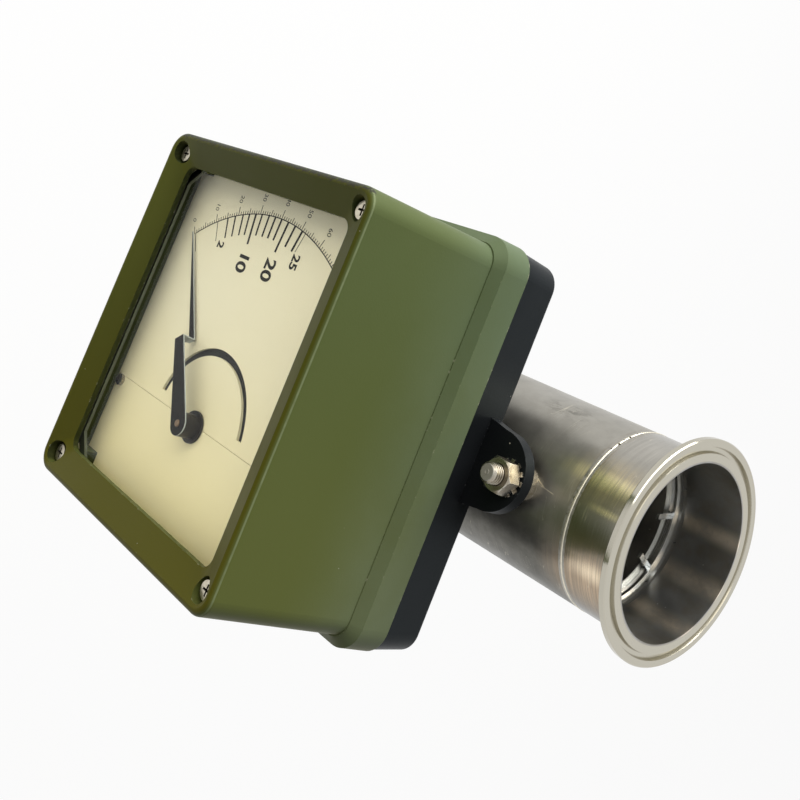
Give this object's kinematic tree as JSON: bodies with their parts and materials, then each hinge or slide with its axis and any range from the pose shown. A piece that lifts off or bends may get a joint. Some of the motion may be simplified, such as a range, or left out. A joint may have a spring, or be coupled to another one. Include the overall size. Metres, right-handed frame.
{
  "type": "variable-area flow meter",
  "caption": "Steel metering tube with clamp ferrules and an inner float, and a square dial housing whose pointer follows the float through a magnet.",
  "frame": {"origin": "centre of the inlet ferrule's sealing face, on the metering tube's axis", "axes": "+Z along the tube from inlet to outlet, -Y the way the dial faces, +X to the right of the dial"},
  "size_m": [0.1726, 0.1916, 0.3],
  "materials": {
    "tube_steel": "satin, slightly heat tinted",
    "insert_steel": "satin",
    "fastener_steel": "bright",
    "magnet": "matt",
    "cover_paint": "olive green, semi-gloss",
    "base_paint": "black, satin",
    "seal_rubber": "matt",
    "window_glass": "clear",
    "retainer_sheet": "grey olive, satin",
    "dial_paint": "cream, satin",
    "carrier_black": "black, matt",
    "movement_aluminium": "satin",
    "bearing_brass": "satin",
    "pointer_black": "black, satin"
  },
  "bodies": {
    "meter": {"measuring_tube": "tube_steel", "inlet_ferrule": "tube_steel", "outlet_ferrule": "tube_steel", "inlet_weld": "tube_steel", "outlet_weld": "tube_steel", "lower_stop_ring": "insert_steel", "upper_stop_ring": "insert_steel", "lower_guide": "insert_steel", "upper_guide": "insert_steel", "metering_cone": "insert_steel", "upper_stud": "fastener_steel", "lower_stud": "fastener_steel", "upper_tooth_washer": "fastener_steel", "lower_tooth_washer": "fastener_steel", "upper_nut": "fastener_steel", "lower_nut": "fastener_steel", "housing_base": "base_paint", "base_gasket": "seal_rubber", "cover": "cover_paint", "window_gasket": "seal_rubber", "window_glass": "window_glass", "glass_retainer": "retainer_sheet", "cover_screws": "fastener_steel", "dial_scale_plate": "dial_paint", "dial_name_plate": "dial_paint", "dial_screws": "fastener_steel", "dial_carrier": "carrier_black", "carrier_posts": "movement_aluminium", "movement_front_plate": "movement_aluminium", "movement_rear_plate": "movement_aluminium", "movement_pillars": "movement_aluminium", "front_bearing": "bearing_brass", "rear_bearing": "bearing_brass", "damper_yoke": "insert_steel", "damper_magnets": "magnet"},
    "float": {"float_body": "insert_steel", "float_magnet_can": "insert_steel", "float_rod": "insert_steel", "float_magnet": "magnet", "float_nut": "insert_steel", "float_stop_collar": "insert_steel"},
    "indicator": {"pointer": "pointer_black", "pointer_hub": "pointer_black", "pointer_shaft": "bearing_brass", "counterweight": "bearing_brass", "damper_disc": "movement_aluminium", "follower_arm": "movement_aluminium", "follower_magnet": "magnet"}
  },
  "joints": [
    {"name": "float_lift", "type": "slide", "parent": "meter", "child": "float", "axis": [0, 0, 1], "range_m": [0, 0.0405]},
    {"name": "pointer_turn", "type": "hinge", "parent": "meter", "child": "indicator", "pos_m": [0.0328, -0.09, 0.15], "axis": [0, 1, 0], "range_deg": [0, 76]}
  ],
  "couplings": [
    {"joint": "pointer_turn", "follows": "float_lift", "rad_per_m": 32.7}
  ]
}
